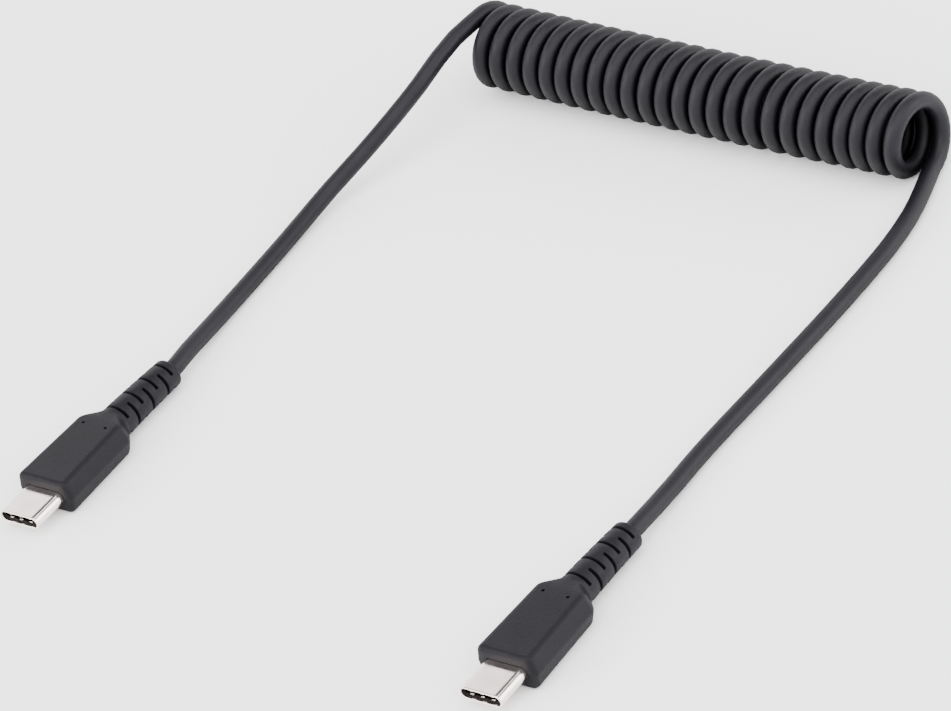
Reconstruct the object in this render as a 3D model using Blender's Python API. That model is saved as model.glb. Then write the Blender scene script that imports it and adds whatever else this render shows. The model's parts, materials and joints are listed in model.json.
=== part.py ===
"""A USB-C to USB-C cable, coiled in its middle and lying on a table.

Metres, +Z up, the table at z = 0. Both plugs point along -Y and lie side by side.
The origin is on the table, under the middle of the two plugs' footprint.
Each plug is a metal shell, a contact block inside it, and a moulded housing whose rear
is a slotted bend relief. The cord is a lead from each plug and the coil between them.
"""
import math

import bmesh
import bpy
from mathutils import Matrix, Vector

# Cord
CORD_DIAMETER = 0.0032

# Shell of a plug, the metal part that goes into a socket
SHELL_WIDTH = 0.00825
SHELL_THICKNESS = 0.0024
SHELL_WALL = 0.0003
SHELL_VISIBLE = 0.0072
SHELL_SEAT = 0.0030
SHELL_RIM_BEVEL = 0.0001

# Contact block inside the shell, with the slot that takes a socket's tongue
BLOCK_RECESS = 0.0006
TONGUE_SLOT_WIDTH = 0.0068
TONGUE_SLOT_HEIGHT = 0.00076
TONGUE_SLOT_DEPTH = 0.0056

# Housing, from its front face to the bend relief
HOUSING_THICKNESS = 0.0064
HOUSING_LENGTH = 0.0162
FRONT_HALF_WIDTH = 0.0059
FRONT_HALF_FLAT = 0.0042
REAR_HALF_WIDTH = 0.0057
REAR_HALF_FLAT = 0.0037
HOUSING_CORNER = 0.0013
FRONT_EDGE_RADIUS = 0.0004
FRONT_CORNER_RADIUS = 0.0009
SHOULDER_LENGTH = 0.0038

# Bend relief, a tapering sleeve with slots cut in turn above and below, then left and right
RELIEF_LENGTH = 0.0153
RELIEF_FRONT_RADIUS = 0.0031
RELIEF_REAR_RADIUS = 0.0027
RELIEF_END_RADIUS = 0.0007
RELIEF_DROP = 0.00045
SLOT_WIDTH = 0.0005
SLOT_PITCH = 0.00213
SLOT_COUNT = 7
SLOT_HALF_ANGLE = math.radians(63)
SLOT_FLOOR = 0.0005
FIRST_SLOT = 0.0006

# Two small moulding marks in the housing's top face
PIN_HOLE_RADIUS = 0.00024
PIN_HOLE_DEPTH = 0.0012
PIN_HOLE_SPACING = 0.0049
PIN_HOLE_FROM_SHOULDER = 0.0006

# Layout on the table
PLUG_SPACING = 0.1042
PLUG_STAGGER = 0.0099
COIL_CENTRE = (-0.00015, 0.11988)
COIL_TURN = math.radians(-1.15)

# Coil
COIL_MEAN_RADIUS = 0.00624
COIL_PITCH = 0.00373
COIL_RINGS = 26
COIL_LEAD_TURNS = 0.25
COIL_SEGMENTS = 20
COIL_FLANK_ANGLE = 50
COIL_GROOVE_SHARE = 0.3

# Route of each lead from its plug towards the coil, chosen by hand, (x, y, z)
LEAD_A_ROUTE = [
    (-0.05290, 0.03250, 0.00250),
    (-0.05385, 0.04000, 0.00195),
    (-0.05475, 0.04900, 0.00160),
    (-0.05570, 0.06250, 0.00160),
    (-0.05610, 0.07120, 0.00200),
    (-0.05555, 0.07920, 0.00330),
    (-0.05365, 0.08725, 0.00560),
    (-0.05160, 0.09530, 0.00840),
    (-0.05010, 0.10230, 0.01090),
    (-0.04960, 0.10830, 0.01270),
    (-0.04920, 0.11350, 0.01370),
]
LEAD_B_ROUTE = [
    (0.05180, 0.02250, 0.00230),
    (0.05140, 0.03000, 0.00185),
    (0.05095, 0.03800, 0.00160),
    (0.05105, 0.04600, 0.00160),
    (0.05135, 0.05500, 0.00160),
    (0.05162, 0.06500, 0.00160),
    (0.05187, 0.07650, 0.00160),
    (0.05187, 0.08700, 0.00160),
    (0.05155, 0.09700, 0.00160),
    (0.05050, 0.10550, 0.00160),
    (0.04890, 0.11200, 0.00160),
]
LEAD_POINT_SPACING = 0.0070
CURVE_STEP = 0.0005

# Clearances between touching pieces
FIT_GAP = 0.0003
SHELL_FIT = 0.0002
BLOCK_FIT = 0.0001

# Mesh fineness
ARC_POINTS = 5
EDGE_ROUND_SHARES = (0.3, 1.0)
CORNER_ROUND_SHARES = (0.6, 1.0)
SHOULDER_STEPS = 8
SLEEVE_STEPS = 6
SHELL_ARC_STEPS = 8
SLOT_STEPS = 8
PIN_HOLE_SIDES = 8
RIM_CHECKS = 16

CORD_RADIUS = CORD_DIAMETER / 2
COIL_OUTER_RADIUS = COIL_MEAN_RADIUS + CORD_RADIUS
PLUG_HEIGHT = HOUSING_THICKNESS / 2
HOUSING_REAR = SHELL_VISIBLE + HOUSING_LENGTH
RELIEF_START = HOUSING_REAR + SHOULDER_LENGTH
PLUG_LENGTH = RELIEF_START + RELIEF_LENGTH
PLUG_A_TIP = Vector((-PLUG_SPACING / 2, (PLUG_STAGGER - PLUG_LENGTH) / 2, PLUG_HEIGHT))
PLUG_B_TIP = Vector((PLUG_SPACING / 2, (-PLUG_STAGGER - PLUG_LENGTH) / 2, PLUG_HEIGHT))


def clear_scene():
    for obj in list(bpy.data.objects):
        bpy.data.objects.remove(obj, do_unlink=True)


def make_material(name, colour, roughness, metallic=0.0):
    material = bpy.data.materials.new(name)
    material.use_nodes = True
    shader = material.node_tree.nodes["Principled BSDF"]
    shader.inputs["Base Color"].default_value = (*colour, 1.0)
    shader.inputs["Roughness"].default_value = roughness
    shader.inputs["Metallic"].default_value = metallic
    return material


def link_object(name, data, material=None, parent=None):
    obj = bpy.data.objects.new(name, data)
    bpy.context.scene.collection.objects.link(obj)
    obj.parent = parent
    if material:
        data.materials.append(material)
    return obj


def mark_cutter(obj):
    obj.hide_render = True
    obj.display_type = "WIRE"
    return obj


def cut(obj, cutter):
    modifier = obj.modifiers.new("cut " + cutter.name, "BOOLEAN")
    modifier.operation = "DIFFERENCE"
    modifier.solver = "EXACT"
    modifier.object = cutter


def mesh_from(bm, name, smooth_angle=35):
    bmesh.ops.recalc_face_normals(bm, faces=bm.faces)
    mesh = bpy.data.meshes.new(name)
    bm.to_mesh(mesh)
    bm.free()
    mesh.shade_smooth()
    mesh.set_sharp_from_angle(angle=math.radians(smooth_angle))
    return mesh


def add_loft(bm, loops, closed=False):
    """Skins a row of equal loops. The ends get a face each, or join up where closed is set."""
    rows = [[bm.verts.new(point) for point in loop] for loop in loops]
    pairs = list(zip(rows, rows[1:]))
    if closed:
        pairs.append((rows[-1], rows[0]))
    for first, second in pairs:
        for i in range(len(first)):
            j = (i + 1) % len(first)
            bm.faces.new((first[i], first[j], second[j], second[i]))
    if not closed:
        bm.faces.new(rows[0])
        bm.faces.new(rows[-1])


def stadium(width, thickness):
    """Outline of a flat bar with round sides, as (x, z) points."""
    radius = thickness / 2
    points = []
    for side, start in ((1, -90), (-1, 90)):
        centre = side * (width / 2 - radius)
        for step in range(SHELL_ARC_STEPS + 1):
            angle = math.radians(start + 180 * step / SHELL_ARC_STEPS)
            points.append((centre + radius * math.cos(angle), radius * math.sin(angle)))
    return points


def rounded_hexagon(half_width, half_flat, half_thickness, corner):
    """Outline with a flat top and bottom and two sloping facets a side, as (x, z) points."""
    reach = half_width - corner
    rise = half_thickness - corner
    slope = math.degrees(math.atan2(reach - half_flat, rise))
    corners = [
        (reach, 0, -slope, slope),
        (half_flat, rise, slope, 90),
        (-half_flat, rise, 90, 180 - slope),
        (-reach, 0, 180 - slope, 180 + slope),
        (-half_flat, -rise, 180 + slope, 270),
        (half_flat, -rise, 270, 360 - slope),
    ]
    points = []
    for x, z, start, end in corners:
        for step in range(ARC_POINTS):
            angle = math.radians(start + (end - start) * step / (ARC_POINTS - 1))
            points.append((x + corner * math.cos(angle), z + corner * math.sin(angle)))
    return points


def matching_circle(radius):
    """Circle with as many points as rounded_hexagon, evenly spaced and in the same order."""
    count = 6 * ARC_POINTS
    first = -(ARC_POINTS - 1) / 2
    angles = [2 * math.pi * (first + i) / count for i in range(count)]
    return [(radius * math.cos(angle), radius * math.sin(angle)) for angle in angles]


def mix_outlines(first, second, share):
    return [
        (x1 + (x2 - x1) * share, z1 + (z2 - z1) * share)
        for (x1, z1), (x2, z2) in zip(first, second)
    ]


def station(outline, y, lift=0.0):
    return [Vector((x, y, z + lift)) for x, z in outline]


def smooth_step(share):
    return share * share * (3 - 2 * share)


def relief_radius(share):
    return RELIEF_FRONT_RADIUS + (RELIEF_REAR_RADIUS - RELIEF_FRONT_RADIUS) * share


def relief_lift(y):
    """How far the soft bend relief hangs below the plug's middle plane."""
    share = max(0.0, (y - RELIEF_START) / RELIEF_LENGTH)
    return -RELIEF_DROP * share * share


def round_inset(radius, depth):
    """How far an edge round of this radius stands in from the side, this deep behind the face."""
    left = max(0.0, radius - depth)
    return radius - math.sqrt(radius ** 2 - left ** 2)


def front_outline(depth):
    """Outline of the housing's front, rounded more at its sides than above and below."""
    narrower = round_inset(FRONT_CORNER_RADIUS, depth)
    lower = round_inset(FRONT_EDGE_RADIUS, depth)
    return rounded_hexagon(
        FRONT_HALF_WIDTH - narrower, FRONT_HALF_FLAT - narrower + lower,
        HOUSING_THICKNESS / 2 - lower, HOUSING_CORNER - lower
    )


def housing_stations():
    half = HOUSING_THICKNESS / 2
    loops = []
    depths = [0.0, *(FRONT_EDGE_RADIUS * share for share in EDGE_ROUND_SHARES)]
    depths += [FRONT_CORNER_RADIUS * share for share in CORNER_ROUND_SHARES]
    for depth in sorted(depths):
        loops.append(station(front_outline(depth), SHELL_VISIBLE + depth))
    rear = rounded_hexagon(REAR_HALF_WIDTH, REAR_HALF_FLAT, half, HOUSING_CORNER)
    loops.append(station(rear, HOUSING_REAR))
    sleeve = matching_circle(RELIEF_FRONT_RADIUS)
    for step in range(1, SHOULDER_STEPS + 1):
        share = step / SHOULDER_STEPS
        outline = mix_outlines(rear, sleeve, smooth_step(share))
        loops.append(station(outline, HOUSING_REAR + SHOULDER_LENGTH * share))
    straight = RELIEF_LENGTH - RELIEF_END_RADIUS
    for step in range(1, SLEEVE_STEPS + 1):
        y = RELIEF_START + straight * step / SLEEVE_STEPS
        outline = matching_circle(relief_radius((y - RELIEF_START) / RELIEF_LENGTH))
        loops.append(station(outline, y, relief_lift(y)))
    edge = relief_radius(straight / RELIEF_LENGTH) - RELIEF_END_RADIUS
    for degrees in (30, 60, 90):
        angle = math.radians(degrees)
        y = RELIEF_START + straight + RELIEF_END_RADIUS * math.sin(angle)
        outline = matching_circle(edge + RELIEF_END_RADIUS * math.cos(angle))
        loops.append(station(outline, y, relief_lift(y)))
    return loops


def add_slot_cutter(bm, y, middle_angle):
    """A bent bar that cuts one slot of the sleeve, floor to well outside it."""
    floor = CORD_RADIUS + SLOT_FLOOR
    outside = RELIEF_FRONT_RADIUS + CORD_RADIUS
    lift = relief_lift(y)
    loops = []
    for step in range(SLOT_STEPS + 1):
        angle = middle_angle + SLOT_HALF_ANGLE * (2 * step / SLOT_STEPS - 1)
        direction = Vector((math.cos(angle), 0, math.sin(angle)))
        along = Vector((0, SLOT_WIDTH / 2, 0))
        centre = Vector((0, y, lift))
        loops.append([
            centre + direction * floor - along,
            centre + direction * outside - along,
            centre + direction * outside + along,
            centre + direction * floor + along,
        ])
    add_loft(bm, loops)


def make_slot_cutter(name, parent, upright):
    """Slots above and below when upright is set, or else those left and right."""
    bm = bmesh.new()
    start = 0 if upright else 1
    for index in range(start, SLOT_COUNT, 2):
        y = RELIEF_START + FIRST_SLOT + index * SLOT_PITCH
        for side in (0, math.pi):
            add_slot_cutter(bm, y, side + (math.pi / 2 if upright else 0))
    return mark_cutter(link_object(name, mesh_from(bm, name), parent=parent))


def make_seat_cutter(name, parent):
    """The shell's seat in the housing."""
    bm = bmesh.new()
    outline = stadium(SHELL_WIDTH + 2 * SHELL_FIT, SHELL_THICKNESS + 2 * SHELL_FIT)
    front = SHELL_VISIBLE - FIT_GAP
    back = SHELL_VISIBLE + SHELL_SEAT + SHELL_FIT
    add_loft(bm, [station(outline, front), station(outline, back)])
    return mark_cutter(link_object(name, mesh_from(bm, name), parent=parent))


def make_pin_cutter(name, parent):
    bm = bmesh.new()
    top = HOUSING_THICKNESS / 2
    y = HOUSING_REAR - PIN_HOLE_FROM_SHOULDER
    for side in (-1, 1):
        middle = Vector((side * PIN_HOLE_SPACING / 2, y, top))
        bmesh.ops.create_cone(
            bm, cap_ends=True, segments=PIN_HOLE_SIDES, radius1=PIN_HOLE_RADIUS,
            radius2=PIN_HOLE_RADIUS, depth=2 * PIN_HOLE_DEPTH, matrix=Matrix.Translation(middle)
        )
    return mark_cutter(link_object(name, mesh_from(bm, name), parent=parent))


def make_housing(name, parent, material):
    bm = bmesh.new()
    add_loft(bm, housing_stations())
    housing = link_object(name + "_housing", mesh_from(bm, name + "_housing"), material, parent)
    cut(housing, make_seat_cutter(name + "_seat_cutter", parent))
    cut(housing, make_slot_cutter(name + "_upright_slot_cutter", parent, True))
    cut(housing, make_slot_cutter(name + "_side_slot_cutter", parent, False))
    cut(housing, make_pin_cutter(name + "_pin_cutter", parent))


def make_shell(name, parent, material):
    """A tube of flat oval section, open at both ends, with its mouth's outer edge broken."""
    outer = stadium(SHELL_WIDTH, SHELL_THICKNESS)
    rim = stadium(SHELL_WIDTH - 2 * SHELL_RIM_BEVEL, SHELL_THICKNESS - 2 * SHELL_RIM_BEVEL)
    inner = stadium(SHELL_WIDTH - 2 * SHELL_WALL, SHELL_THICKNESS - 2 * SHELL_WALL)
    back = SHELL_VISIBLE + SHELL_SEAT
    bm = bmesh.new()
    loops = [
        station(rim, 0),
        station(outer, SHELL_RIM_BEVEL),
        station(outer, back),
        station(inner, back),
        station(inner, 0),
    ]
    add_loft(bm, loops, closed=True)
    link_object(name + "_shell", mesh_from(bm, name + "_shell"), material, parent)


def make_contact_block(name, parent, material):
    width = SHELL_WIDTH - 2 * SHELL_WALL - 2 * BLOCK_FIT
    thickness = SHELL_THICKNESS - 2 * SHELL_WALL - 2 * BLOCK_FIT
    outline = stadium(width, thickness)
    bm = bmesh.new()
    back = SHELL_VISIBLE + SHELL_SEAT
    add_loft(bm, [station(outline, BLOCK_RECESS), station(outline, back)])
    block = link_object(
        name + "_contact_block", mesh_from(bm, name + "_contact_block"), material, parent
    )
    slot = bmesh.new()
    size = Vector((TONGUE_SLOT_WIDTH, 2 * TONGUE_SLOT_DEPTH, TONGUE_SLOT_HEIGHT))
    place = Matrix.Translation((0, BLOCK_RECESS, 0)) @ Matrix.Diagonal((*size, 1))
    bmesh.ops.create_cube(slot, size=1, matrix=place)
    cutter = link_object(name + "_tongue_cutter", mesh_from(slot, name + "_tongue"), parent=parent)
    cut(block, mark_cutter(cutter))


def make_plug(name, tip, materials):
    place = bpy.data.objects.new(name, None)
    bpy.context.scene.collection.objects.link(place)
    place.location = tip
    make_shell(name, place, materials["shell"])
    make_contact_block(name, place, materials["block"])
    make_housing(name, place, materials["moulding"])


def cord_exit(tip):
    """Where the cord's middle line leaves the bend relief."""
    return tip + Vector((0, PLUG_LENGTH, -RELIEF_DROP))


def coil_frame():
    """Places the coil: its axis along local X, its middle above the table."""
    place = Matrix.Translation((*COIL_CENTRE, COIL_OUTER_RADIUS))
    return place @ Matrix.Rotation(COIL_TURN, 4, "Z")


def coil_start():
    """The cord comes in over the top of the coil's left end."""
    along = -((COIL_RINGS - 1) / 2 + COIL_LEAD_TURNS) * COIL_PITCH
    return coil_frame() @ Vector((along, 0, COIL_MEAN_RADIUS))


def coil_end():
    """The cord leaves along the table under the coil's right end."""
    along = ((COIL_RINGS - 1) / 2 + COIL_LEAD_TURNS) * COIL_PITCH
    return coil_frame() @ Vector((along, 0, -COIL_MEAN_RADIUS))


def smooth_route(points):
    """Closely spaced points of a Catmull-Rom curve through the given ones."""
    padded = [points[0] * 2 - points[1], *points, points[-1] * 2 - points[-2]]
    fine = []
    for p0, p1, p2, p3 in zip(padded, padded[1:], padded[2:], padded[3:]):
        steps = max(1, round((p2 - p1).length / CURVE_STEP))
        for step in range(steps):
            t = step / steps
            fine.append(0.5 * (
                2 * p1 + (p2 - p0) * t + (2 * p0 - 5 * p1 + 4 * p2 - p3) * t ** 2
                + (3 * p1 - p0 - 3 * p2 + p3) * t ** 3
            ))
    fine.append(points[-1])
    return fine


def clears_coil(centre, direction):
    """Whether a cord cut square at this point keeps its gap to the coil's nearest turn."""
    to_coil = coil_frame().inverted()
    end_turn = (COIL_RINGS - 1) / 2 * COIL_PITCH
    side = direction.orthogonal().normalized()
    other = direction.normalized().cross(side)
    for step in range(RIM_CHECKS):
        angle = 2 * math.pi * step / RIM_CHECKS
        rim = centre + (side * math.cos(angle) + other * math.sin(angle)) * CORD_RADIUS
        local = to_coil @ rim
        beyond = max(0.0, abs(local.x) - end_turn)
        outward = math.hypot(local.y, local.z) - COIL_MEAN_RADIUS
        if math.hypot(beyond, outward) < CORD_RADIUS + FIT_GAP:
            return False
    return True


def outside_coil(points):
    """The stretch of a lead up to where it meets the coil."""
    kept = [points[0]]
    for last, point in zip(points, points[1:]):
        if not clears_coil(point, point - last):
            break
        kept.append(point)
    return kept


def spaced_points(points, spacing):
    """Evenly spaced points along a fine row of points, both ends included."""
    lengths = [0.0]
    for a, b in zip(points, points[1:]):
        lengths.append(lengths[-1] + (b - a).length)
    count = max(2, round(lengths[-1] / spacing))
    result = []
    index = 0
    for step in range(count + 1):
        wanted = lengths[-1] * step / count
        while index < len(points) - 2 and lengths[index + 1] < wanted:
            index += 1
        span = lengths[index + 1] - lengths[index]
        result.append(points[index].lerp(points[index + 1], (wanted - lengths[index]) / span))
    return result


def make_lead(name, tip, route, end, material):
    start = cord_exit(tip) + Vector((0, FIT_GAP, 0))
    fine = smooth_route([start, *(Vector(point) for point in route), end])
    points = spaced_points(outside_coil(fine), LEAD_POINT_SPACING)
    curve = bpy.data.curves.new(name, "CURVE")
    curve.dimensions = "3D"
    curve.bevel_depth = CORD_RADIUS
    curve.bevel_resolution = 2
    curve.use_fill_caps = True
    spline = curve.splines.new("POLY")
    spline.points.add(len(points) - 1)
    for target, point in zip(spline.points, points):
        target.co = (*point, 1.0)
    link_object(name, curve, material)


def ring_points(x, start, end, steps):
    """Part of one turn's round outline, from start to end degrees, 0 being its crest."""
    points = []
    for step in range(steps + 1):
        angle = math.radians(start + (end - start) * step / steps)
        points.append((
            x + CORD_RADIUS * math.sin(angle), COIL_MEAN_RADIUS + CORD_RADIUS * math.cos(angle)
        ))
    return points


def coil_profile():
    """Closed outline of the coil's turned solid, as (along, radius): crests, grooves, bore."""
    flank = COIL_FLANK_ANGLE
    groove = COIL_MEAN_RADIUS + CORD_RADIUS * COIL_GROOVE_SHARE
    first = -(COIL_RINGS - 1) / 2 * COIL_PITCH
    points = ring_points(first, -180, flank, 5)
    for ring in range(1, COIL_RINGS):
        x = first + ring * COIL_PITCH
        points.append((x - COIL_PITCH / 2, groove))
        last = ring == COIL_RINGS - 1
        points += ring_points(x, -flank, 180, 5) if last else ring_points(x, -flank, flank, 2)
    return points


def make_coil(name, material):
    bm = bmesh.new()
    loops = []
    for step in range(COIL_SEGMENTS):
        angle = math.radians(-90) + 2 * math.pi * step / COIL_SEGMENTS
        loops.append([
            Vector((x, radius * math.cos(angle), radius * math.sin(angle)))
            for x, radius in coil_profile()
        ])
    add_loft(bm, loops, closed=True)
    coil = link_object(name, mesh_from(bm, name), material)
    coil.matrix_world = coil_frame()


def main():
    clear_scene()
    materials = {
        "shell": make_material("nickel", (0.78, 0.76, 0.74), 0.22, 1.0),
        "block": make_material("contact block plastic", (0.012, 0.012, 0.013), 0.5),
        "moulding": make_material("moulding plastic", (0.035, 0.036, 0.040), 0.45),
        "cord": make_material("cord jacket", (0.045, 0.045, 0.048), 0.5),
    }
    make_plug("plug_a", PLUG_A_TIP, materials)
    make_plug("plug_b", PLUG_B_TIP, materials)
    make_lead("lead_a", PLUG_A_TIP, LEAD_A_ROUTE, coil_start(), materials["cord"])
    make_lead("lead_b", PLUG_B_TIP, LEAD_B_ROUTE, coil_end(), materials["cord"])
    make_coil("coil", materials["cord"])


main()
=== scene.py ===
"""Dresses a coiled USB-C cable: its cord, moulded plugs, metal shells and contacts.

The packed model is the frame that every piece is fitted to, in metres.
"""
import json
import math

import bmesh
import bpy
from bpy.props import FloatProperty, FloatVectorProperty, IntProperty, PointerProperty
from mathutils import Matrix, Vector

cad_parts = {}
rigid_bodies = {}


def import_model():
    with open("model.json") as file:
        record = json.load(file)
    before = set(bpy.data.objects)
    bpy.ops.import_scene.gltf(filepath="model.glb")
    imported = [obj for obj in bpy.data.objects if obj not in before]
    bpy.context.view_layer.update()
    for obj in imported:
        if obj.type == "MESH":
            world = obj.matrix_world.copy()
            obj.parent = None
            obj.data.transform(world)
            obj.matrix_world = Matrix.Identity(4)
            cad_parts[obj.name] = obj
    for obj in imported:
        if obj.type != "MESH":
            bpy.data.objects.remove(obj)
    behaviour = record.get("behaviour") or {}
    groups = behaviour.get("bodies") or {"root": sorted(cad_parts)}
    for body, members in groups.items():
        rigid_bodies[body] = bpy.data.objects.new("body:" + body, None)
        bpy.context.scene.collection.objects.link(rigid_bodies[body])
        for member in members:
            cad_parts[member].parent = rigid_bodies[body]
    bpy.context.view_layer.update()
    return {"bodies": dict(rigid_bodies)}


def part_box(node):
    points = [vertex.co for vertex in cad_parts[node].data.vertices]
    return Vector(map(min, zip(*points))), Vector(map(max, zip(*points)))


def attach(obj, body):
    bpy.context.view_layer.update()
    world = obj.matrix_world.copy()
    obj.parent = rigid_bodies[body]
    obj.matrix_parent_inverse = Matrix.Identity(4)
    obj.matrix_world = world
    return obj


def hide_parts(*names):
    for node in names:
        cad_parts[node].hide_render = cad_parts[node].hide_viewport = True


bl_info = {
    "name": "Coiled cable dresser",
    "version": (1, 0, 0),
    "blender": (4, 5, 0),
    "location": "3D View > Sidebar > Cable",
    "description": "Builds the visible pieces of a coiled USB-C cable over its packed model",
    "category": "Add Mesh",
}

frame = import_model()
BODY = next(iter(frame["bodies"]))
PLUGS = ("plug_a", "plug_b")
MM = 0.001

# Route of each lead, from its plug to the coil, in millimetres
LEAD_A_ROUTE = [
    (-52.9, 32.5, 2.5), (-53.85, 40.0, 1.95), (-54.75, 49.0, 1.6), (-55.7, 62.5, 1.6),
    (-56.1, 71.2, 2.0), (-55.55, 79.2, 3.3), (-53.65, 87.25, 5.6), (-51.6, 95.3, 8.4),
    (-50.1, 102.3, 10.9), (-49.6, 108.3, 12.7), (-49.2, 113.5, 13.7),
]
LEAD_B_ROUTE = [
    (51.8, 22.5, 2.3), (51.4, 30.0, 1.85), (50.95, 38.0, 1.6), (51.05, 46.0, 1.6),
    (51.35, 55.0, 1.6), (51.62, 65.0, 1.6), (51.87, 76.5, 1.6), (51.87, 87.0, 1.6),
    (51.55, 97.0, 1.6), (50.5, 105.5, 1.6), (48.9, 112.0, 1.6),
]
# How far some turns have slid along the coil, (turn, millimetres)
TURN_DRIFT = [
    (-1, -0.55), (0, -0.5), (3, -0.1), (6, -0.35), (9, -0.45), (12, -0.4),
    (15, -0.45), (18, 0.3), (21, 0.15), (23, -0.55), (24, -0.6), (24.5, -0.9), (25, -0.35),
]
# The cord enters the coil on top, before turn 0, and leaves it underneath as far after the last
FIRST_TURN = -0.75
LEAD_STEP = 4 * MM
# The cord runs straight from this far before its relief's end to this far after it
STRAIGHT_SPAN = (-1.0 * MM, 1.5 * MM)

# Angle in degrees above which an edge stays sharp
SHARP_ANGLE = 32
# A noise texture's values lie mostly between these, for roughness and for colour
ROUGHNESS_SPAN = (0.3, 0.7)
COLOUR_SPAN = (0.35, 0.65)
# Refraction indices, low because the satin surfaces reflect little
JACKET_IOR = 1.25
MOULDING_IOR = 1.20
INSULATOR_IOR = 1.12
# Gloss of an open surface, of one that turns away, and of one closed in all round, where painted shade
# takes the gloss away
FULL_GLOSS, RIM_GLOSS, PAINTED_SHADE_GLOSS = 0.5, 0.04, 0.02
# How far the surface has turned away where its gloss starts to fall, and where it has fallen
RIM_SPAN = (0.42, 0.85)
# Share of open space within the reach where the painted shade has taken all the gloss, and where the
# gloss is whole; the painted shade also darkens the colour by that share itself
PAINTED_SHADE_SPAN = (0.20, 0.52)
PAINTED_SHADE_REACH = 12 * MM

# Each softbox: name, setting of its power, place from the target and width, in metres
SOFTBOXES = (
    ("side softbox", "side_power", (1.1, 0.65, 0.5), 1.0),
    ("front softbox", "front_power", (-0.8, -1.1, 0.75), 1.0),
    ("top softbox", "top_power", (0.35, -0.35, 1.6), 2.4),
)
# Height on the studio's dome where the lit walls give way to the dim roof
ROOF_EDGE = (0.60, 0.72)
# How far round towards the camera's side the near wall starts, and where it is whole
NEAR_WALL_EDGE = (0.1, 0.7)


def length_prop(name, description, default):
    return FloatProperty(
        name=name, description=description, default=default, min=0.0, unit="LENGTH", precision=6
    )


def colour_prop(name, description, default):
    return FloatVectorProperty(
        name=name, description=description, default=default, subtype="COLOR", size=3,
        min=0.0, max=1.0
    )


def share_prop(name, description, default):
    return FloatProperty(
        name=name, description=description, default=default, min=0.0, max=1.0, subtype="FACTOR"
    )


def angle_prop(name, description, degrees):
    return FloatProperty(
        name=name, description=description, default=math.radians(degrees), subtype="ANGLE"
    )


class CordSettings(bpy.types.PropertyGroup):
    """Sizes and colour of the cord and its coil."""

    diameter: length_prop("Diameter", "Thickness of the cord", 0.0032)
    mean_radius: length_prop("Coil radius", "From the coil's axis to the cord's middle", 0.00624)
    pitch: length_prop("Pitch", "Distance between two turns", 0.00373)
    turns: FloatProperty(name="Turns", description="Turns in the coil", default=25.5, min=1.0)
    turn: angle_prop("Turn", "Angle of the coil's axis from the row of plugs", -1.15)
    bow: length_prop("Bow", "How far the coil's middle bows towards the plugs", 0.00057)
    turn_points: IntProperty(
        name="Points a turn", description="Points of the cord's path in one turn", default=30, min=12
    )
    colour: colour_prop("Colour", "Colour of the jacket", (0.0062, 0.0057, 0.0083))
    roughness: share_prop("Roughness", "Roughness of the jacket", 0.42)


class HousingSettings(bpy.types.PropertyGroup):
    """Sizes and colour of the moulded housings."""

    length: length_prop("Length", "From the front face to the shoulder", 0.0162)
    shoulder: length_prop("Shoulder", "Length of the shoulder", 0.0038)
    front_half_width: length_prop("Front half width", "Half the width at the front", 0.0059)
    front_half_flat: length_prop("Front half flat", "Half the flat top at the front", 0.0042)
    rear_half_width: length_prop("Rear half width", "Half the width at the shoulder", 0.0057)
    rear_half_flat: length_prop("Rear half flat", "Half the flat top at the shoulder", 0.0037)
    corner: length_prop("Corner", "Radius of the creases along the housing", 0.0013)
    front_edge: length_prop("Front edge", "Radius of the front's upper and lower edge", 0.0008)
    front_corner: length_prop("Front corner", "Radius of the front's left and right edge", 0.0009)
    relief_front: length_prop("Relief front radius", "Radius of the relief at its front", 0.0031)
    relief_rear: length_prop("Relief rear radius", "Radius of the relief at its rear", 0.0027)
    relief_end: length_prop("Relief end", "Radius of the relief's rear edge", 0.0007)
    relief_drop: length_prop("Relief drop", "How far the relief's rear hangs down", 0.00045)
    slot_width: length_prop("Slot width", "Width of a relief slot", 0.00060)
    slot_pitch: length_prop("Slot pitch", "Distance from one slot to the next", 0.00213)
    slot_depth: length_prop("Slot depth", "Depth of a relief slot", 0.0010)
    slot_lip: length_prop("Slot lip", "Rounding of a slot's lips", 0.00012)
    first_slot: length_prop("First slot", "From the shoulder's end to the first slot", 0.0006)
    slot_count: IntProperty(name="Slots", description="Rows of slots", default=7, min=1)
    slot_half_angle: angle_prop("Slot half angle", "Half the angle that a slot takes", 63)
    pin_radius: length_prop("Pin mark radius", "Radius of the two marks on top", 0.0003)
    pin_depth: length_prop("Pin mark depth", "Depth of the two marks on top", 0.0012)
    pin_spacing: length_prop("Pin mark spacing", "Distance between the marks", 0.0049)
    pin_from_shoulder: length_prop("Pin mark place", "From the marks to the shoulder", 0.0010)
    colour: colour_prop("Colour", "Colour of the moulding", (0.0055, 0.0052, 0.0072))
    roughness: share_prop("Roughness", "Roughness of the moulding", 0.42)


class ShellSettings(bpy.types.PropertyGroup):
    """Sizes and colour of the metal shells."""

    wall: length_prop("Wall", "Thickness of the sheet", 0.00028)
    rim: length_prop("Rim", "Rounding of the mouth's edge", 0.00010)
    colour: colour_prop("Colour", "Colour of the plating", (0.86, 0.77, 0.73))
    roughness: share_prop("Roughness", "Roughness of the plating", 0.15)


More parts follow.
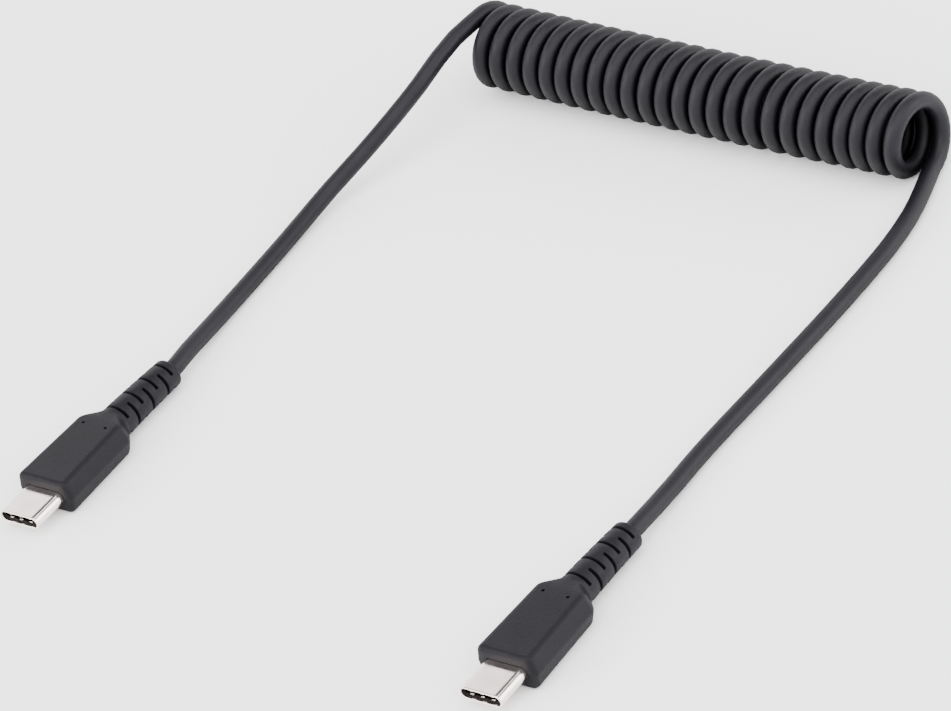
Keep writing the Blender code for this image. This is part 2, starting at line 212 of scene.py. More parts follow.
class ContactSettings(bpy.types.PropertyGroup):
    """Sizes and colours inside the mouth."""

    slot_width: length_prop("Tongue slot width", "Width of the slot", 0.0068)
    slot_height: length_prop("Tongue slot height", "Height of the slot", 0.00076)
    slot_depth: length_prop("Tongue slot depth", "Depth of the slot", 0.0050)
    contact_pitch: length_prop("Contact pitch", "Distance between contacts", 0.0005)
    contact_count: IntProperty(name="Contacts", description="Contacts in a row", default=12, min=1)
    tab_spacing: length_prop("Tab spacing", "Distance between the grounding tabs", 0.0021)
    tab_width: length_prop("Tab width", "Width of a grounding tab", 0.00062)
    colour: colour_prop("Colour", "Colour of the insulator", (0.002, 0.002, 0.002))
    gold: colour_prop("Gold", "Colour of the contacts", (0.83, 0.61, 0.28))


class StageSettings(bpy.types.PropertyGroup):
    """Camera, lights and floor."""

    azimuth: angle_prop("Azimuth", "Turn of the camera from +Y", 44.867)
    elevation: angle_prop("Elevation", "Height of the camera above the horizon", 35.325)
    roll: angle_prop("Roll", "Tilt of the picture", -16.389)
    distance: length_prop("Distance", "From the camera to its target", 0.95424)
    target: FloatVectorProperty(
        name="Target", description="Point the camera looks at", default=(-0.00369, 0.05014, 0.0),
        subtype="XYZ", unit="LENGTH", size=3
    )
    lens: FloatProperty(
        name="Lens", description="Focal length in millimetres", default=212.67, min=10.0
    )
    floor_colour: colour_prop("Floor", "Colour of the floor", (0.93, 0.93, 0.93))
    wall_light: FloatProperty(
        name="Walls", description="Light from the walls", default=3.1, min=0.0
    )
    roof_light: FloatProperty(
        name="Roof", description="Light from the roof", default=0.12, min=0.0
    )
    near_wall_share: share_prop(
        "Near wall", "Share of light left on the wall behind the camera", 0.95
    )
    side_power: FloatProperty(
        name="Side", description="Power of the side softbox", default=12.0, min=0.0
    )
    front_power: FloatProperty(
        name="Front", description="Power of the front softbox", default=18.0, min=0.0
    )
    top_power: FloatProperty(
        name="Top", description="Power of the top softbox", default=90.0, min=0.0
    )


def link_object(name, data):
    obj = bpy.data.objects.new(name, data)
    bpy.context.scene.collection.objects.link(obj)
    return obj


def finish_piece(obj, material, slot, *nodes):
    """Gives a piece its finish, puts it on its body and lets it stand for its nodes."""
    obj.data.materials.append(material)
    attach(obj, BODY)
    if nodes:
        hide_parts(*nodes)


def smooth_mesh(bm, name, angle=SHARP_ANGLE):
    bmesh.ops.recalc_face_normals(bm, faces=bm.faces)
    mesh = bpy.data.meshes.new(name)
    bm.to_mesh(mesh)
    bm.free()
    mesh.shade_smooth()
    mesh.set_sharp_from_angle(angle=math.radians(angle))
    return mesh


def add_skin(bm, loops, closed=False):
    """Skins a row of equal loops. The ends get a face each, or join up where closed is set."""
    rows = [[bm.verts.new(point) for point in loop] for loop in loops]
    pairs = list(zip(rows, rows[1:]))
    if closed:
        pairs.append((rows[-1], rows[0]))
    for first, second in pairs:
        for i in range(len(first)):
            j = (i + 1) % len(first)
            bm.faces.new((first[i], first[j], second[j], second[i]))
    if not closed:
        bm.faces.new(rows[0])
        bm.faces.new(rows[-1])


def quarter_arc(cx, cz, radius, start, end, steps=24):
    """Points (x, z, direction) of an arc, its directions in degrees."""
    points = []
    for step in range(steps + 1):
        degrees = start + (end - start) * step / steps
        angle = math.radians(degrees)
        points.append((cx + radius * math.cos(angle), cz + radius * math.sin(angle), degrees))
    return points


def full_outline(quarter, count):
    """Whole outline from its quarter, with count points a quarter, closer where it turns."""
    length = sum(math.dist(a[:2], b[:2]) for a, b in zip(quarter, quarter[1:]))
    marks = [0.0]
    for a, b in zip(quarter, quarter[1:]):
        marks.append(marks[-1] + math.dist(a[:2], b[:2]) / length + (b[2] - a[2]) / 90)
    spread = []
    index = 0
    for step in range(count + 1):
        wanted = marks[-1] * step / count
        while index < len(marks) - 2 and marks[index + 1] < wanted:
            index += 1
        span = marks[index + 1] - marks[index]
        share = (wanted - marks[index]) / span if span else 0.0
        a, b = quarter[index], quarter[index + 1]
        spread.append((a[0] + (b[0] - a[0]) * share, a[1] + (b[1] - a[1]) * share))
    rising, falling = spread[:-1], spread[:0:-1]
    return (
        rising + [(-x, z) for x, z in falling]
        + [(-x, -z) for x, z in rising] + [(x, -z) for x, z in falling]
    )


def circle_outline(radius, count):
    return full_outline(quarter_arc(0, 0, radius, 0, 90), count)


def stadium_outline(width, thickness, count):
    radius = thickness / 2
    side = quarter_arc(width / 2 - radius, 0, radius, 0, 90)
    return full_outline(side + [(0, radius, 90)], count)


def hexagon_outline(half_width, half_flat, half_thickness, corner, count):
    """Flat top and bottom, two sloping facets a side, all its edges rounded."""
    reach, rise = half_width - corner, half_thickness - corner
    slope = math.degrees(math.atan2(reach - half_flat, rise))
    side = quarter_arc(reach, 0, corner, 0, slope)
    top = quarter_arc(half_flat, rise, corner, slope, 90)
    return full_outline(side + top + [(0, half_thickness, 90)], count)


def mix_outlines(first, second, share):
    return [
        (x1 + (x2 - x1) * share, z1 + (z2 - z1) * share)
        for (x1, z1), (x2, z2) in zip(first, second)
    ]


def at(outline, y, lift=0.0):
    return [Vector((x, y, z + lift)) for x, z in outline]


def smooth_step(share):
    share = min(1.0, max(0.0, share))
    return share * share * (3 - 2 * share)


def plug_place(plug):
    """The middle of a plug's mouth, and the sizes that its nodes give."""
    low, high = (Vector(corner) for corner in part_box(plug + "_shell"))
    housing_low, housing_high = (Vector(corner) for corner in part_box(plug + "_housing"))
    tip = Vector(((low.x + high.x) / 2, low.y, (low.z + high.z) / 2))
    return {
        "tip": tip,
        "shell_width": high.x - low.x,
        "shell_thickness": high.z - low.z,
        "shell_length": high.y - low.y,
        "front": housing_low.y - tip.y,
        "rear": housing_high.y - tip.y,
        "half_thickness": housing_high.z - tip.z,
    }


def relief_lift(y, place, s):
    """How far the soft relief hangs below the plug's middle plane."""
    start = place["front"] + s.length + s.shoulder
    share = max(0.0, (y - start) / (place["rear"] - start))
    return -s.relief_drop * share * share


def cord_exit(plug):
    """Where the cord's middle line leaves the relief."""
    place = plug_place(plug)
    drop = bpy.context.scene.cable_housing.relief_drop
    return place["tip"] + Vector((0, place["rear"], -drop))


def new_material(name, colour, roughness, metallic=0.0):
    material = bpy.data.materials.new(name)
    material.use_nodes = True
    shader = material.node_tree.nodes["Principled BSDF"]
    shader.inputs["Base Color"].default_value = (*colour, 1.0)
    shader.inputs["Roughness"].default_value = roughness
    shader.inputs["Metallic"].default_value = metallic
    return material, shader


def add_noise(material, size, detail=3.0, stretch=(1, 1, 1)):
    """A noise texture with spots of that size in metres, drawn out along an axis by stretch."""
    nodes, links = material.node_tree.nodes, material.node_tree.links
    where = nodes.new("ShaderNodeTexCoord")
    mapping = nodes.new("ShaderNodeMapping")
    mapping.inputs["Scale"].default_value = tuple(1 / (size * each) for each in stretch)
    noise = nodes.new("ShaderNodeTexNoise")
    noise.inputs["Scale"].default_value = 1.0
    noise.inputs["Detail"].default_value = detail
    links.new(where.outputs["Object"], mapping.inputs["Vector"])
    links.new(mapping.outputs["Vector"], noise.inputs["Vector"])
    return noise.outputs["Fac"]


def add_span(nodes, low, high, first, last, smooth=False):
    """A node that carries values between low and high over to between first and last."""
    span = nodes.new("ShaderNodeMapRange")
    if smooth:
        span.interpolation_type = "SMOOTHSTEP"
    span.inputs["From Min"].default_value = low
    span.inputs["From Max"].default_value = high
    span.inputs["To Min"].default_value = first
    span.inputs["To Max"].default_value = last
    return span


def vary_roughness(material, shader, field, below, above):
    """Lets a field take the roughness that far below and above the shader's own value."""
    nodes, links = material.node_tree.nodes, material.node_tree.links
    roughness = shader.inputs["Roughness"].default_value
    span = add_span(nodes, *ROUGHNESS_SPAN, roughness - below, roughness + above)
    links.new(field, span.inputs["Value"])
    links.new(span.outputs["Result"], shader.inputs["Roughness"])


def vary_colour(material, shader, field, colour, share):
    """Lets a field darken and lighten a colour by that share."""
    nodes, links = material.node_tree.nodes, material.node_tree.links
    ramp = nodes.new("ShaderNodeValToRGB")
    shades = (1 - share, 1 + share)
    for element, position, shade in zip(ramp.color_ramp.elements, COLOUR_SPAN, shades):
        element.position = position
        element.color = (*(each * shade for each in colour), 1.0)
    links.new(field, ramp.inputs["Fac"])
    links.new(ramp.outputs["Color"], shader.inputs["Base Color"])


def add_bump(material, shader, field, height):
    """Lets a field raise the surface by up to that height in metres."""
    nodes, links = material.node_tree.nodes, material.node_tree.links
    bump = nodes.new("ShaderNodeBump")
    bump.inputs["Distance"].default_value = height
    bump.inputs["Strength"].default_value = 1.0
    links.new(field, bump.inputs["Height"])
    links.new(bump.outputs["Normal"], shader.inputs["Normal"])


def paint_shade_in_hollows(material, shader):
    """Paints shade into places that are closed in all round, such as a bore: darker colour and less
    gloss; returns the gloss left.
    """
    nodes, links = material.node_tree.nodes, material.node_tree.links
    # Painted shade: the occlusion below darkens the colour in the bore and in the gaps between turns
    closed = nodes.new("ShaderNodeAmbientOcclusion")
    closed.samples = 8
    closed.inputs["Distance"].default_value = PAINTED_SHADE_REACH
    gloss = add_span(nodes, *PAINTED_SHADE_SPAN, PAINTED_SHADE_GLOSS, FULL_GLOSS, smooth=True)
    links.new(closed.outputs["AO"], gloss.inputs["Value"])
    links.new(shader.inputs["Base Color"].links[0].from_socket, closed.inputs["Color"])
    links.new(closed.outputs["Color"], shader.inputs["Base Color"])
    return gloss.outputs["Result"]


def soften_rims(material, shader, gloss=None):
    """Lets the gloss fall off where the surface turns away, as a fine grain does."""
    nodes, links = material.node_tree.nodes, material.node_tree.links
    weight = nodes.new("ShaderNodeLayerWeight")
    fall = add_span(nodes, *RIM_SPAN, FULL_GLOSS, RIM_GLOSS)
    if gloss:
        links.new(gloss, fall.inputs["To Min"])
    links.new(weight.outputs["Facing"], fall.inputs["Value"])
    links.new(fall.outputs["Result"], shader.inputs["Specular IOR Level"])


def jacket_material():
    s = bpy.context.scene.cable_cord
    material, shader = new_material("jacket, satin charcoal", s.colour, s.roughness)
    shader.inputs["IOR"].default_value = JACKET_IOR
    cloud = add_noise(material, 6 * MM, detail=4.0)
    grain = add_noise(material, 0.28 * MM)
    vary_colour(material, shader, cloud, s.colour, share=0.12)
    vary_roughness(material, shader, grain, below=0.05, above=0.06)
    add_bump(material, shader, grain, 0.028 * MM)
    # Painted shade: the jacket's colour and gloss are darkened in the coil's bore and gaps
    soften_rims(material, shader, paint_shade_in_hollows(material, shader))
    return material


def moulding_material():
    s = bpy.context.scene.cable_housing
    material, shader = new_material("moulding, fine grain", s.colour, s.roughness)
    shader.inputs["IOR"].default_value = MOULDING_IOR
    cloud = add_noise(material, 5 * MM, detail=4.0)
    grain = add_noise(material, 0.30 * MM, detail=4.0)
    vary_colour(material, shader, cloud, s.colour, share=0.1)
    vary_roughness(material, shader, grain, below=0.05, above=0.07)
    add_bump(material, shader, grain, 0.040 * MM)
    soften_rims(material, shader)
    return material


def nickel_material(name="shell, nickel plate"):
    s = bpy.context.scene.cable_shell
    material, shader = new_material(name, s.colour, s.roughness, metallic=1.0)
    drawn = add_noise(material, 0.05 * MM, stretch=(1, 40, 1))
    smudge = add_noise(material, 2.5 * MM, detail=2.0)
    vary_roughness(material, shader, smudge, below=0.04, above=0.06)
    add_bump(material, shader, drawn, 0.001 * MM)
    return material


def insulator_material():
    s = bpy.context.scene.cable_contacts
    material, shader = new_material("insulator, black", s.colour, roughness=0.45)
    shader.inputs["IOR"].default_value = INSULATOR_IOR
    grain = add_noise(material, 0.08 * MM, detail=2.0)
    vary_roughness(material, shader, grain, below=0.05, above=0.07)
    add_bump(material, shader, grain, 0.004 * MM)
    return material


def gold_material():
    s = bpy.context.scene.cable_contacts
    material, shader = new_material("contacts, gold plate", s.gold, roughness=0.25, metallic=1.0)
    worn = add_noise(material, 0.1 * MM, detail=2.0)
    vary_roughness(material, shader, worn, below=0.07, above=0.09)
    return material


class CABLE_OT_stage(bpy.types.Operator):
    """Adds the camera, the floor and the studio lights."""

    bl_idname = "cable.add_stage"
    bl_label = "Stage"

    def execute(self, context):
        settings = context.scene.cable_stage
        self.add_camera(context, settings)
        self.add_floor(settings)
        self.add_world(context, settings)
        for name, power, offset, width in SOFTBOXES:
            self.add_light(name, settings.target, Vector(offset), width, getattr(settings, power))
        return {"FINISHED"}

    def add_camera(self, context, s):
        look = Vector((
            -math.sin(s.azimuth) * math.cos(s.elevation),
            math.cos(s.azimuth) * math.cos(s.elevation),
            -math.sin(s.elevation),
        ))
        level = Vector((math.cos(s.azimuth), math.sin(s.azimuth), 0))
        upright = level.cross(look)
        right = level * math.cos(s.roll) + upright * math.sin(s.roll)
        up = upright * math.cos(s.roll) - level * math.sin(s.roll)
        place = Vector(s.target) - look * s.distance
        data = bpy.data.cameras.new("camera")
        data.sensor_width = 36.0
        data.lens = s.lens
        data.clip_start = 0.01
        camera = link_object("camera", data)
        turned = Matrix((right, up, -look)).transposed().to_4x4()
        camera.matrix_world = Matrix.Translation(place) @ turned
        context.scene.camera = camera

    def add_floor(self, s):
        bm = bmesh.new()
        bmesh.ops.create_grid(bm, x_segments=8, y_segments=8, size=2.5)
        floor = link_object("floor", smooth_mesh(bm, "floor"))
        material, shader = new_material("floor, matt white", s.floor_colour, roughness=0.6)
        cloud = add_noise(material, 100 * MM, detail=2.0)
        vary_roughness(material, shader, cloud, below=0.05, above=0.05)
        floor.data.materials.append(material)

    def add_world(self, context, s):
        """Lit walls all round, a little dimmer on the camera's side, under a dim roof."""
        world = bpy.data.worlds.new("studio")
        world.use_nodes = True
        nodes, links = world.node_tree.nodes, world.node_tree.links
        where = nodes.new("ShaderNodeTexCoord")
        split = nodes.new("ShaderNodeSeparateXYZ")
        height = add_span(nodes, *ROOF_EDGE, s.wall_light, s.roof_light, smooth=True)
        links.new(where.outputs["Generated"], split.inputs["Vector"])
        links.new(split.outputs["Z"], height.inputs["Value"])
        toward = nodes.new("ShaderNodeVectorMath")
        toward.operation = "DOT_PRODUCT"
        toward.inputs[1].default_value = (math.sin(s.azimuth), -math.cos(s.azimuth), 0.0)
        near = add_span(nodes, *NEAR_WALL_EDGE, 1.0, s.near_wall_share, smooth=True)
        strength = nodes.new("ShaderNodeMath")
        strength.operation = "MULTIPLY"
        links.new(where.outputs["Generated"], toward.inputs[0])
        links.new(toward.outputs["Value"], near.inputs["Value"])
        links.new(height.outputs["Result"], strength.inputs[0])
        links.new(near.outputs["Result"], strength.inputs[1])
        links.new(strength.outputs["Value"], nodes["Background"].inputs["Strength"])
        nodes["Background"].inputs["Color"].default_value = (1.0, 1.0, 1.0, 1.0)
        context.scene.world = world

    def add_light(self, name, target, offset, width, power):
        data = bpy.data.lights.new(name, "AREA")
        data.shape = "SQUARE"
        data.size = width
        data.energy = power
        light = link_object(name, data)
        light.location = Vector(target) + offset
        light.rotation_euler = (-offset).to_track_quat("-Z", "Y").to_euler()


def catmull_rom(points, step):
    """Closely spaced points of a smooth curve through the given ones."""
    padded = [points[0] * 2 - points[1], *points, points[-1] * 2 - points[-2]]
    fine = []
    for p0, p1, p2, p3 in zip(padded, padded[1:], padded[2:], padded[3:]):
        count = max(1, round((p2 - p1).length / step))
        for index in range(count):
            t = index / count
            fine.append(0.5 * (
                2 * p1 + (p2 - p0) * t + (2 * p0 - 5 * p1 + 4 * p2 - p3) * t ** 2
                + (3 * p1 - p0 - 3 * p2 + p3) * t ** 3
            ))
    fine.append(points[-1])
    return fine


def turn_drift(turn):
    """How far the coil has slid along its axis at a turn."""
    for (first, a), (second, b) in zip(TURN_DRIFT, TURN_DRIFT[1:]):
        if turn <= second:
            return (a + (b - a) * smooth_step((turn - first) / (second - first))) * MM
    return TURN_DRIFT[-1][1] * MM


def coil_points(s):
    """The cord's middle line through the coil, from over its left end to under its right."""
    low, high = (Vector(corner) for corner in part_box("coil"))
    centre = Vector(((low.x + high.x) / 2, (low.y + high.y) / 2, s.mean_radius + s.diameter / 2))
    place = Matrix.Translation(centre) @ Matrix.Rotation(s.turn, 4, "Z")
    last_turn = s.turns + 2 * FIRST_TURN
    count = round(s.turns * s.turn_points)
    points = []
    for index in range(count + 1):
        turn = FIRST_TURN + s.turns * index / count
        angle = 2 * math.pi * turn
        along = (turn - last_turn / 2) * s.pitch + turn_drift(turn)
        share = turn / last_turn
        bow = -s.bow * 4 * share * (1 - share)
        points.append(place @ Vector((
            along, bow - s.mean_radius * math.cos(angle), s.mean_radius * math.sin(angle)
        )))
    return points


def lead_points(plug, route, coil_end):
    """A plug's lead from inside its relief along its route to an end of the coil."""
    start = [cord_exit(plug) + Vector((0, offset, 0)) for offset in STRAIGHT_SPAN]
    return catmull_rom([*start, *(Vector(point) * MM for point in route), coil_end], LEAD_STEP)


class CABLE_OT_cord(bpy.types.Operator):
    """Adds the cord, one length from plug to plug with its coil in the middle."""

    bl_idname = "cable.add_cord"
    bl_label = "Cord"

    def execute(self, context):
        s = context.scene.cable_cord
        coil = coil_points(s)
        lead_a = lead_points("plug_a", LEAD_A_ROUTE, coil[0])
        lead_b = lead_points("plug_b", LEAD_B_ROUTE, coil[-1])
        points = lead_a[:-1] + coil + lead_b[-2::-1]
        curve = bpy.data.curves.new("cord", "CURVE")
        curve.dimensions = "3D"
        curve.bevel_depth = s.diameter / 2
        curve.bevel_resolution = 8
        curve.use_fill_caps = True
        spline = curve.splines.new("POLY")
        spline.points.add(len(points) - 1)
        for target, point in zip(spline.points, points):
            target.co = (*point, 1.0)
        spline.use_smooth = True
        cord = link_object("cord", curve)
        finish_piece(cord, jacket_material(), "cord_jacket", "lead_a", "coil", "lead_b")
        return {"FINISHED"}


class CABLE_OT_housings(bpy.types.Operator):
    """Adds the moulded housings with their slotted bend reliefs."""

    bl_idname = "cable.add_housings"
    bl_label = "Housings"
    quarter_points = 32
    body_steps = 12
    shoulder_steps = 16
    end_steps = 6
    pin_sides = 24
    # The seat round the shell, and how its edge opens out
    seat_gap = 0.04 * MM
    seat_depth = 0.6 * MM
    seat_flare = 0.08 * MM
    seat_flare_depth = 0.06 * MM
    # Directions, in degrees, at which the front's round and a slot's lip get a ring
    round_rings = (0, 25, 45, 65, 90)
    lip_rings = (0, 30, 60, 90)
    # How far a slot's walls lean in, and the angle over which its ends rise
    slot_taper = 0.02 * MM
    slot_rise = math.radians(3)
    # The hole that the cord comes out of
    cord_gap = 0.05 * MM
    hole_bevel = 0.08 * MM
    hole_depth = 0.8 * MM

    def execute(self, context):
        material = moulding_material()
        for plug in PLUGS:
            place = plug_place(plug)
            housing = link_object(plug + "_moulding", self.build_mesh(plug, place))
            housing.location = place["tip"]
            finish_piece(housing, material, "moulding", plug + "_housing")
        return {"FINISHED"}

    def build_mesh(self, plug, place):
        s = bpy.context.scene.cable_housing
        bm = bmesh.new()
        loops = self.mouth_loops(place, s) + self.body_loops(place, s) + self.relief_loops(place, s)
        add_skin(bm, loops)
        mesh = smooth_mesh(bm, plug + "_moulding")
        return self.with_pin_marks(mesh, place, s)

    def mouth_loops(self, place, s):
        """The seat round the shell and the rounded edge of the front face."""
        count = self.quarter_points
        seat, flare = (
            stadium_outline(
                place["shell_width"] + 2 * gap, place["shell_thickness"] + 2 * gap, count
            )
            for gap in (self.seat_gap, self.seat_gap + self.seat_flare)
        )
        front = place["front"]
        loops = [
            at(seat, front + self.seat_depth), at(seat, front + self.seat_flare_depth),
            at(flare, front),
        ]
        for depth in sorted(self.round_depths(s.front_edge) | self.round_depths(s.front_corner)):
            narrower = self.round_inset(s.front_corner, depth)
            lower = self.round_inset(s.front_edge, depth)
            outline = hexagon_outline(
                s.front_half_width - narrower, s.front_half_flat - narrower + lower,
                place["half_thickness"] - lower, s.corner - lower, count
            )
            loops.append(at(outline, front + depth))
        return loops

    def round_depths(self, radius):
        """Depths behind the front face at which a round of this radius gets a ring."""
        return {radius * (1 - math.cos(math.radians(degrees))) for degrees in self.round_rings}

    def round_inset(self, radius, depth):
        """How far a round of this radius stands in from the side at a depth behind the face."""
        left = max(0.0, radius - depth)
        return radius - math.sqrt(radius ** 2 - left ** 2)

    def body_loops(self, place, s):
        """The tapering body and its shoulder down to the relief."""
        count = self.quarter_points
        front = hexagon_outline(
            s.front_half_width, s.front_half_flat, place["half_thickness"], s.corner, count
        )
        rear = hexagon_outline(
            s.rear_half_width, s.rear_half_flat, place["half_thickness"], s.corner, count
        )
        sleeve = circle_outline(s.relief_front, count)
        loops = []
        for step in range(1, self.body_steps + 1):
            share = step / self.body_steps
            y = place["front"] + s.front_corner + (s.length - s.front_corner) * share
            loops.append(at(mix_outlines(front, rear, share), y))
        for step in range(1, self.shoulder_steps + 1):
            share = step / self.shoulder_steps
            y = place["front"] + s.length + s.shoulder * share
            loops.append(at(mix_outlines(rear, sleeve, smooth_step(share)), y))
        return loops

    def relief_loops(self, place, s):
        """The tapering sleeve, cut in turn above and below, then left and right."""
        start = place["front"] + s.length + s.shoulder
        span = place["rear"] - start
        loops = []
        for slot in range(s.slot_count):
            middle = start + s.first_slot + slot * s.slot_pitch
            for offset, depth in self.slot_profile(s):
                loops.append(self.sleeve_loop(middle + offset, depth, slot % 2 == 0, place, s))
        end = span - s.relief_end
        loops.append(self.sleeve_loop(start + end, 0.0, True, place, s))
        edge = s.relief_front + (s.relief_rear - s.relief_front) * end / span - s.relief_end
        for step in range(1, self.end_steps + 1):
            angle = math.radians(90 * step / self.end_steps)
            y = start + end + s.relief_end * math.sin(angle)
            outline = circle_outline(edge + s.relief_end * math.cos(angle), self.quarter_points)
            loops.append(at(outline, y, relief_lift(y, place, s)))
        hole = bpy.context.scene.cable_cord.diameter / 2 + self.cord_gap
        for wider, depth in ((self.hole_bevel, 0.0), (0.0, self.hole_bevel), (0.0, self.hole_depth)):
            y = place["rear"] - depth
            outline = circle_outline(hole + wider, self.quarter_points)
            loops.append(at(outline, y, relief_lift(y, place, s)))
        return loops

    def slot_profile(self, s):
        """Offsets across a slot with their depths: rounded lip, steep wall, floor and back."""
        half = s.slot_width / 2
        lip = []
        for degrees in self.lip_rings:
            angle = math.radians(degrees)
            lip.append((half + s.slot_lip * (1 - math.sin(angle)), s.slot_lip * (1 - math.cos(angle))))
        wall = (half - self.slot_taper, s.slot_depth)
        falling = [(-offset, depth) for offset, depth in (*lip, wall)]
        rising = [(offset, depth) for offset, depth in (wall, *reversed(lip))]
        return falling + [(0.0, s.slot_depth)] + rising

    def sleeve_loop(self, y, depth, upright, place, s):
        """A ring of the sleeve, sunk by depth where its row's two slots are."""
        start = place["front"] + s.length + s.shoulder
        share = (y - start) / (place["rear"] - start)
        radius = s.relief_front + (s.relief_rear - s.relief_front) * share
        outline = []
        for x, z in circle_outline(1.0, self.quarter_points):
            angle = math.atan2(abs(x), abs(z)) if upright else math.atan2(abs(z), abs(x))
            inside = smooth_step((s.slot_half_angle - angle) / self.slot_rise + 0.5)
            sunk = radius - depth * inside
            outline.append((x * sunk, z * sunk))
        return at(outline, y, relief_lift(y, place, s))

    def with_pin_marks(self, mesh, place, s):
        """Cuts the two small round marks in the top face."""
        host = link_object("marked moulding", mesh)
        bm = bmesh.new()
        y = place["front"] + s.length - s.pin_from_shoulder
        for side in (-1, 1):
            middle = Matrix.Translation((side * s.pin_spacing / 2, y, place["half_thickness"]))
            bmesh.ops.create_cone(
                bm, cap_ends=True, segments=self.pin_sides, radius1=s.pin_radius,
                radius2=s.pin_radius, depth=2 * s.pin_depth, matrix=middle
            )
        pins = link_object("pins", smooth_mesh(bm, "pins"))
        cut = host.modifiers.new("pin marks", "BOOLEAN")
        cut.operation = "DIFFERENCE"
        cut.solver = "EXACT"
        cut.object = pins
        seen = host.evaluated_get(bpy.context.evaluated_depsgraph_get())
        marked = bpy.data.meshes.new_from_object(seen)
        marked.set_sharp_from_angle(angle=math.radians(SHARP_ANGLE))
        for obj in (host, pins):
            bpy.data.objects.remove(obj, do_unlink=True)
        return marked


class CABLE_OT_shells(bpy.types.Operator):
    """Adds the plated metal shells with their rounded mouths."""

    bl_idname = "cable.add_shells"
    bl_label = "Shells"
    quarter_points = 28
    rim_steps = 4

    def execute(self, context):
        s = context.scene.cable_shell
        material = nickel_material()
        for plug in PLUGS:
            place = plug_place(plug)
            bm = bmesh.new()
            add_skin(bm, self.loops(place, s), closed=True)
            shell = link_object(plug + "_sleeve", smooth_mesh(bm, plug + "_sleeve", angle=60))
            shell.location = place["tip"]
            finish_piece(shell, material, "nickel", plug + "_shell")
        return {"FINISHED"}

    def loops(self, place, s):
        """Rings along the outside, over the rounded rim and back along the inside."""
        loops = []
        rim = min(s.rim, s.wall / 2)
        back = place["shell_length"]
        for y in (back, back * 0.5, rim * 3):
            loops.append(self.ring(place, 0.0, y))
        angles = [math.radians(90 * step / self.rim_steps) for step in range(self.rim_steps + 1)]
        for angle in angles:
            loops.append(self.ring(place, rim * (1 - math.cos(angle)), rim * (1 - math.sin(angle))))
        for angle in angles:
            inset = s.wall - rim * (1 - math.sin(angle))
            loops.append(self.ring(place, inset, rim * (1 - math.cos(angle))))
        for y in (rim * 3, back):
            loops.append(self.ring(place, s.wall, y))
        return loops

    def ring(self, place, inset, y):
        outline = stadium_outline(
            place["shell_width"] - 2 * inset, place["shell_thickness"] - 2 * inset,
            self.quarter_points
        )
        return at(outline, y)


def bar_section(x, width, outer, inner):
    """Four corners across a flat bar, between its outer and its inner edge (y, z)."""
    left, right = x - width / 2, x + width / 2
    return [
        Vector((left, *outer)), Vector((right, *outer)),
        Vector((right, *inner)), Vector((left, *inner)),
    ]


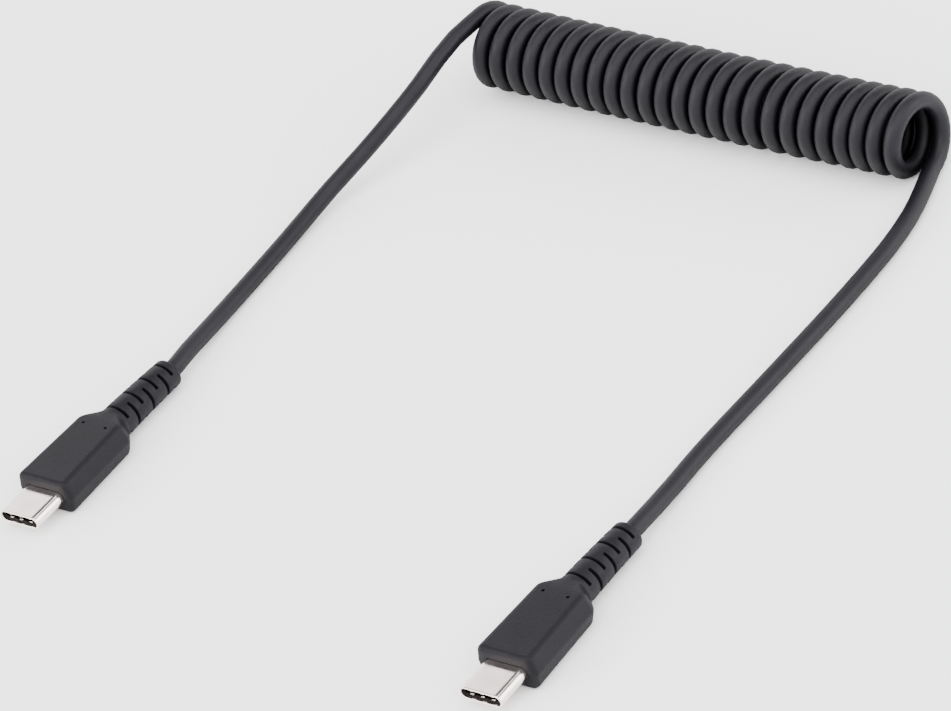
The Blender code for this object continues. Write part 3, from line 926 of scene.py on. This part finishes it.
class CABLE_OT_contacts(bpy.types.Operator):
    """Adds the insulators, contacts and grounding tabs inside the mouths."""

    bl_idname = "cable.add_contacts"
    bl_label = "Contacts"
    quarter_points = 24
    # The insulator's clearance in the shell, its softened front edge and the slot's opened lip
    clearance = 0.01 * MM
    edge_depth = 0.05 * MM
    edge_share = 0.06
    lip_width = 0.1 * MM
    lip_depth = 0.06 * MM
    corner_share = 0.2
    # A contact from the side in millimetres, (from the mouth, rise from the slot's wall)
    contact_profile = ((1.9, 0.0), (2.3, 0.10), (3.0, 0.16), (3.8, 0.10), (4.8, 0.02))
    contact_width = 0.26 * MM
    contact_root = 0.02 * MM
    # A tab from the side in millimetres, (above the slot's lip, behind the insulator's face)
    tab_path = (
        (0.07, 0.02), (0.05, -0.04), (-0.01, -0.05), (-0.07, 0.04), (-0.10, 0.35), (-0.06, 0.9),
    )
    tab_sheet = 0.05 * MM

    def execute(self, context):
        s = context.scene.cable_contacts
        black, gold = insulator_material(), gold_material()
        nickel = nickel_material("tabs, nickel plate")
        for plug in PLUGS:
            place = plug_place(plug)
            block = link_object(plug + "_insulator", self.insulator_mesh(plug, place, s))
            block.location = place["tip"]
            finish_piece(block, black, "contact_block", plug + "_contact_block")
            contacts = link_object(plug + "_contacts", self.contact_mesh(plug, s))
            contacts.location = place["tip"]
            finish_piece(contacts, gold, "contact_block")
            tabs = link_object(plug + "_tabs", self.tab_mesh(plug, place, s))
            tabs.location = place["tip"]
            finish_piece(tabs, nickel, "nickel")
        return {"FINISHED"}

    def insulator_mesh(self, plug, place, s):
        """A block that fills the shell, with the tongue's slot in its front."""
        low, high = (Vector(corner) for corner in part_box(plug + "_contact_block"))
        recess = low.y - place["tip"].y
        back = high.y - place["tip"].y
        inset = bpy.context.scene.cable_shell.wall + self.clearance
        outer = stadium_outline(
            place["shell_width"] - 2 * inset, place["shell_thickness"] - 2 * inset,
            self.quarter_points
        )
        corner = s.slot_height * self.corner_share
        slot = self.rounded_slot(s.slot_width, s.slot_height, corner)
        lip = self.rounded_slot(s.slot_width + self.lip_width, s.slot_height + self.lip_width, corner)
        bm = bmesh.new()
        add_skin(bm, [
            at(outer, back), at(outer, recess + self.edge_depth),
            at(mix_outlines(outer, lip, self.edge_share), recess), at(lip, recess),
            at(slot, recess + self.lip_depth), at(slot, recess + s.slot_depth),
        ])
        return smooth_mesh(bm, plug + "_insulator")

    def rounded_slot(self, width, height, corner):
        arc = quarter_arc(width / 2 - corner, height / 2 - corner, corner, 0, 90)
        return full_outline([(width / 2, 0, 0), *arc, (0, height / 2, 90)], self.quarter_points)

    def contact_mesh(self, plug, s):
        """Two rows of spring contacts that reach into the slot."""
        bm = bmesh.new()
        half = s.slot_height / 2
        outer = half + self.contact_root
        for row in (-1, 1):
            for index in range(s.contact_count):
                x = (index - (s.contact_count - 1) / 2) * s.contact_pitch
                loops = []
                for y, rise in self.contact_profile:
                    inner = half - rise * MM
                    edges = (y * MM, row * outer), (y * MM, row * inner)
                    loops.append(bar_section(x, self.contact_width, *edges))
                add_skin(bm, loops)
        return smooth_mesh(bm, plug + "_contacts")

    def tab_mesh(self, plug, place, s):
        """Three grounding tabs on each lip of the slot, bent from its front into it."""
        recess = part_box(plug + "_contact_block")[0][1] - place["tip"].y
        half = s.slot_height / 2
        bm = bmesh.new()
        for row in (-1, 1):
            for index in (-1, 0, 1):
                loops = []
                for up, back in self.tab_path:
                    y, z = recess + back * MM, half + up * MM
                    edges = (y, row * z), (y - self.tab_sheet, row * (z - self.tab_sheet))
                    loops.append(bar_section(index * s.tab_spacing, s.tab_width, *edges))
                add_skin(bm, loops)
        return smooth_mesh(bm, plug + "_tabs")


STEPS = (CABLE_OT_stage, CABLE_OT_cord, CABLE_OT_housings, CABLE_OT_shells, CABLE_OT_contacts)
SETTINGS = {
    "cable_stage": StageSettings,
    "cable_cord": CordSettings,
    "cable_housing": HousingSettings,
    "cable_shell": ShellSettings,
    "cable_contacts": ContactSettings,
}


class CABLE_PT_panel(bpy.types.Panel):
    """Lists the cable's pieces in the sidebar."""

    bl_idname = "CABLE_PT_panel"
    bl_label = "Coiled cable"
    bl_space_type = "VIEW_3D"
    bl_region_type = "UI"
    bl_category = "Cable"

    def draw(self, context):
        for step in STEPS:
            self.layout.operator(step.bl_idname)
        for name, group in SETTINGS.items():
            box = self.layout.box()
            box.label(text=group.__doc__)
            settings = getattr(context.scene, name)
            for prop in group.__annotations__:
                box.prop(settings, prop)


CLASSES = (*SETTINGS.values(), *STEPS, CABLE_PT_panel)


def register():
    for cls in CLASSES:
        bpy.utils.register_class(cls)
    for name, group in SETTINGS.items():
        setattr(bpy.types.Scene, name, PointerProperty(type=group))


def unregister():
    for name in SETTINGS:
        delattr(bpy.types.Scene, name)
    for cls in reversed(CLASSES):
        bpy.utils.unregister_class(cls)


def main():
    register()
    bpy.ops.cable.add_stage()
    bpy.ops.cable.add_cord()
    bpy.ops.cable.add_housings()
    bpy.ops.cable.add_shells()
    bpy.ops.cable.add_contacts()


if __name__ == "__main__":
    main()
